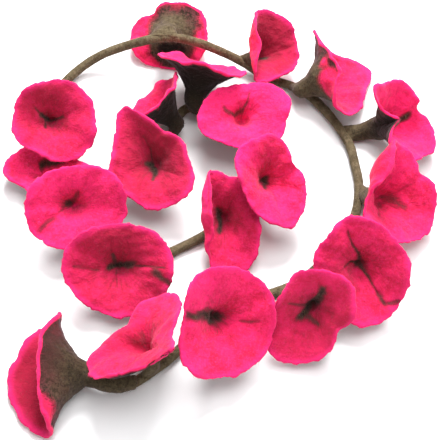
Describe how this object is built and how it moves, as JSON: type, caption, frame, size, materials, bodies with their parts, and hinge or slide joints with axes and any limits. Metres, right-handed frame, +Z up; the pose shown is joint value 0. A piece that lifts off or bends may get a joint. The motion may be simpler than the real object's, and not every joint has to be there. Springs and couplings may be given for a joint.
{
  "type": "felt flower garland",
  "caption": "Wet-felted wool garland, laid down flat in a loose spiral: a round olive rope stem with wide pink trumpet flowers felted onto it on short necks.",
  "frame": {"origin": "on the surface that the garland lies on, under the middle of its outline", "axes": "+Z up from the surface, +X to the right and -Y towards the viewer, on the side where the stem's outer end lies"},
  "size_m": [0.44, 0.4774, 0.0941],
  "materials": {
    "stem_felt": "matt felted wool",
    "flower_felt": "matt felted wool, olive in the throat and at the neck"
  },
  "bodies": {
    "root": {"stem": "stem_felt", "flower_01": "flower_felt", "flower_02": "flower_felt", "flower_03": "flower_felt", "flower_04": "flower_felt", "flower_05": "flower_felt", "flower_06": "flower_felt", "flower_07": "flower_felt", "flower_08": "flower_felt", "flower_09": "flower_felt", "flower_10": "flower_felt", "flower_11": "flower_felt", "flower_12": "flower_felt", "flower_13": "flower_felt", "flower_14": "flower_felt", "flower_15": "flower_felt", "flower_16": "flower_felt", "flower_17": "flower_felt", "flower_18": "flower_felt", "flower_19": "flower_felt", "flower_20": "flower_felt"}
  },
  "joints": []
}
